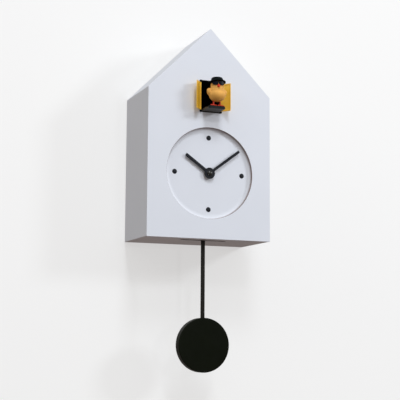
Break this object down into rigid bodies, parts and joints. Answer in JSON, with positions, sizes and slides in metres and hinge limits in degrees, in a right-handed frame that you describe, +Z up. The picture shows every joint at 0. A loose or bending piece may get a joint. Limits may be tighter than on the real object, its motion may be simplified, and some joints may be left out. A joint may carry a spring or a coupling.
{
  "type": "cuckoo clock",
  "caption": "House-shaped wall cuckoo clock with a recessed dial, a bird on a sliding perch behind hinged doors, and a round swinging pendulum.",
  "frame": {"origin": "where the axis of the hands meets the wall, on the outer face of the back panel", "axes": "+Z up, along the pendulum; +Y into the wall, so the dial faces -Y; +X to the right seen from the front"},
  "size_m": [0.222, 0.159, 0.5812],
  "materials": {
    "white_lacquer": "satin off-white lacquer on fibreboard",
    "back_board": "matt painted board",
    "hand_black": "matt black coating",
    "rod_black": "satin black coating",
    "bob_black": "satin black lacquer with an olive tint",
    "black_plastic": "moulded, fine grain",
    "grey_plastic": "moulded, fine grain",
    "perch_grey": "matt dark grey, slightly mottled",
    "stand_black": "satin black with a green tint",
    "white_plastic": "moulded, satin",
    "door_yellow": "golden yellow paint, semi-gloss",
    "bird_orange": "matt orange paint",
    "bird_black": "satin black paint",
    "bird_red": "matt red paint",
    "steel": "plain",
    "brass": "turned and cut",
    "copper": "enamelled copper winding",
    "magnet": "dark ferrite",
    "circuit_green": "printed circuit board",
    "battery_sleeve": "plain blue sleeve"
  },
  "bodies": {
    "case": {"front_panel": "white_lacquer", "left_side_panel": "white_lacquer", "right_side_panel": "white_lacquer", "left_roof_panel": "white_lacquer", "right_roof_panel": "white_lacquer", "bottom_panel": "white_lacquer", "back_panel": "back_board", "hanger_plate": "steel", "left_hanger_screw": "steel", "right_hanger_screw": "steel", "dot_12": "hand_black", "dot_3": "hand_black", "dot_6": "hand_black", "dot_9": "hand_black", "movement_front_case": "grey_plastic", "movement_rear_case": "grey_plastic", "dial_washer": "brass", "dial_nut": "brass", "stator": "steel", "motor_coil": "copper", "circuit_board": "circuit_green", "pivot_pin": "steel", "pendulum_coil": "copper", "doorway_liner": "black_plastic", "left_guide_rail": "grey_plastic", "right_guide_rail": "grey_plastic", "left_hinge_pin": "steel", "right_hinge_pin": "steel", "slide_motor": "grey_plastic", "sound_board": "circuit_green", "speaker": "black_plastic", "battery_holder": "black_plastic", "battery_1": "battery_sleeve", "battery_2": "battery_sleeve", "battery_3": "battery_sleeve"},
    "minute": {"centre_arbor": "steel", "minute_hand": "hand_black", "hand_cap": "hand_black"},
    "hour": {"hour_wheel": "brass", "hour_hand": "hand_black"},
    "minute_wheel": {"minute_wheel": "brass"},
    "setting": {"setting_knob": "black_plastic"},
    "rotor": {"rotor": "magnet"},
    "pendulum": {"pendulum_hanger": "white_plastic", "pendulum_rod": "rod_black", "pendulum_magnet": "magnet", "pendulum_bob": "bob_black"},
    "bird": {"perch_platform": "perch_grey", "bird_stand": "stand_black", "bird_body": "bird_orange", "bird_hat": "bird_black", "bird_glasses": "bird_black", "bird_beak": "bird_red", "left_leg": "bird_red", "right_leg": "bird_red"},
    "drive": {"drive_pinion": "brass"},
    "left_door": {"left_door": "door_yellow"},
    "right_door": {"right_door": "door_yellow"},
    "access_cover": {"access_cover": "white_plastic"}
  },
  "joints": [
    {"name": "minute_spin", "type": "hinge", "parent": "case", "child": "minute", "pos_m": [0, -0.1131, 0], "axis": [0, 1, 0], "continuous": true},
    {"name": "hour_spin", "type": "hinge", "parent": "case", "child": "hour", "pos_m": [0, -0.1119, 0], "axis": [0, 1, 0], "continuous": true},
    {"name": "minute_wheel_spin", "type": "hinge", "parent": "case", "child": "minute_wheel", "pos_m": [0.01, -0.0986, 0], "axis": [0, 1, 0], "continuous": true},
    {"name": "setting_spin", "type": "hinge", "parent": "case", "child": "setting", "pos_m": [0.02125, -0.0884, 0], "axis": [0, 1, 0], "continuous": true},
    {"name": "rotor_spin", "type": "hinge", "parent": "case", "child": "rotor", "pos_m": [-0.014, -0.0989, -0.008], "axis": [0, 1, 0], "continuous": true},
    {"name": "pendulum_swing", "type": "hinge", "parent": "case", "child": "pendulum", "pos_m": [0, -0.085, 0.04], "axis": [0, 1, 0], "range_deg": [-10, 10]},
    {"name": "bird_slide", "type": "slide", "parent": "case", "child": "bird", "axis": [0, 1, 0], "range_m": [0, 0.053]},
    {"name": "left_door_swing", "type": "hinge", "parent": "case", "child": "left_door", "pos_m": [-0.0186, -0.1164, 0.1305], "axis": [0, 0, 1], "range_deg": [0, 132]},
    {"name": "right_door_swing", "type": "hinge", "parent": "case", "child": "right_door", "pos_m": [0.0186, -0.1164, 0.1305], "axis": [0, 0, 1], "range_deg": [-132, 0]},
    {"name": "drive_spin", "type": "hinge", "parent": "case", "child": "drive", "pos_m": [0, -0.063, 0.1008], "axis": [1, 0, 0], "range_deg": [-633, 0]},
    {"name": "access_cover_slide", "type": "slide", "parent": "case", "child": "access_cover", "axis": [0, 1, 0], "range_m": [0, 0.03]}
  ],
  "couplings": [
    {"joint": "hour_spin", "follows": "minute_spin", "ratio": 0.083333},
    {"joint": "minute_wheel_spin", "follows": "minute_spin", "ratio": -0.33333},
    {"joint": "setting_spin", "follows": "minute_spin", "ratio": 0.66667},
    {"joint": "left_door_swing", "follows": "bird_slide", "rad_per_m": 43.47},
    {"joint": "right_door_swing", "follows": "bird_slide", "rad_per_m": -43.47},
    {"joint": "drive_spin", "follows": "bird_slide", "rad_per_m": -208.33}
  ]
}
